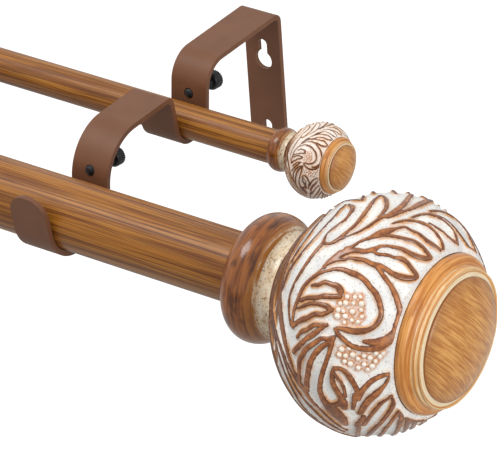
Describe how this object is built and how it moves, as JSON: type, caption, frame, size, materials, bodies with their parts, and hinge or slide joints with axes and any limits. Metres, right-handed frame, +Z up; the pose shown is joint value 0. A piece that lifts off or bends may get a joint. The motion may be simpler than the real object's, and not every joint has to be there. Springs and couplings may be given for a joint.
{
  "type": "double curtain pole",
  "caption": "Double telescopic curtain pole on bent strap wall brackets, with leaf-carved ball finials.",
  "frame": {"origin": "on the wall, midway between the two keyholes of the right bracket", "axes": "+X along the poles towards the right finials, +Y into the wall, +Z up"},
  "size_m": [0.9428, 0.2164, 0.1109],
  "materials": {
    "bracket_paint": "satin chocolate brown paint on steel strap",
    "grained_tube": "satin printed wood grain running along the steel tube",
    "grained_inner_tube": "satin printed wood grain running along the steel tube",
    "black_screw": "black oxide on steel",
    "washed_carving": "brown relief with an antique white wash in the hollows, satin",
    "dark_turning": "glossy reddish brown stain, paler in the cove",
    "honey_turning": "glossy honey brown stain",
    "insert": "moulded insert inside the tube's end",
    "threaded_steel": "plated threaded rod, hidden"
  },
  "bodies": {
    "brackets_and_outer_poles": {"right_bracket": "bracket_paint", "left_bracket": "bracket_paint", "front_outer_tube": "grained_tube", "rear_outer_tube": "grained_tube", "right_front_plug": "insert", "right_front_stud": "threaded_steel", "right_front_collar": "dark_turning", "right_front_carved_ball": "washed_carving", "right_front_button": "honey_turning", "right_rear_plug": "insert", "right_rear_stud": "threaded_steel", "right_rear_collar": "dark_turning", "right_rear_carved_ball": "washed_carving", "right_rear_button": "honey_turning"},
    "front_inner_pole": {"front_inner_tube": "grained_inner_tube", "left_front_plug": "insert", "left_front_stud": "threaded_steel", "left_front_collar": "dark_turning", "left_front_carved_ball": "washed_carving", "left_front_button": "honey_turning"},
    "rear_inner_pole": {"rear_inner_tube": "grained_inner_tube", "left_rear_plug": "insert", "left_rear_stud": "threaded_steel", "left_rear_collar": "dark_turning", "left_rear_carved_ball": "washed_carving", "left_rear_button": "honey_turning"},
    "right_front_lock_screw": {"right_front_lock_screw": "black_screw"},
    "right_rear_lock_screw": {"right_rear_lock_screw": "black_screw"},
    "left_front_lock_screw": {"left_front_lock_screw": "black_screw"},
    "left_rear_lock_screw": {"left_rear_lock_screw": "black_screw"}
  },
  "joints": [
    {"name": "front_pole_draw_out", "type": "slide", "parent": "brackets_and_outer_poles", "child": "front_inner_pole", "axis": [-1, 0, 0], "range_m": [0, 0.508]},
    {"name": "rear_pole_draw_out", "type": "slide", "parent": "brackets_and_outer_poles", "child": "rear_inner_pole", "axis": [-1, 0, 0], "range_m": [0, 0.508]},
    {"name": "right_front_lock_screw_in", "type": "slide", "parent": "brackets_and_outer_poles", "child": "right_front_lock_screw", "axis": [0, -0.9925, 0.1219], "range_m": [0, 0.0086]},
    {"name": "right_rear_lock_screw_in", "type": "slide", "parent": "brackets_and_outer_poles", "child": "right_rear_lock_screw", "axis": [0, -0.9925, 0.1219], "range_m": [0, 0.0049]},
    {"name": "left_front_lock_screw_in", "type": "slide", "parent": "brackets_and_outer_poles", "child": "left_front_lock_screw", "axis": [0, -0.9925, 0.1219], "range_m": [0, 0.0086]},
    {"name": "left_rear_lock_screw_in", "type": "slide", "parent": "brackets_and_outer_poles", "child": "left_rear_lock_screw", "axis": [0, -0.9925, 0.1219], "range_m": [0, 0.0049]}
  ]
}
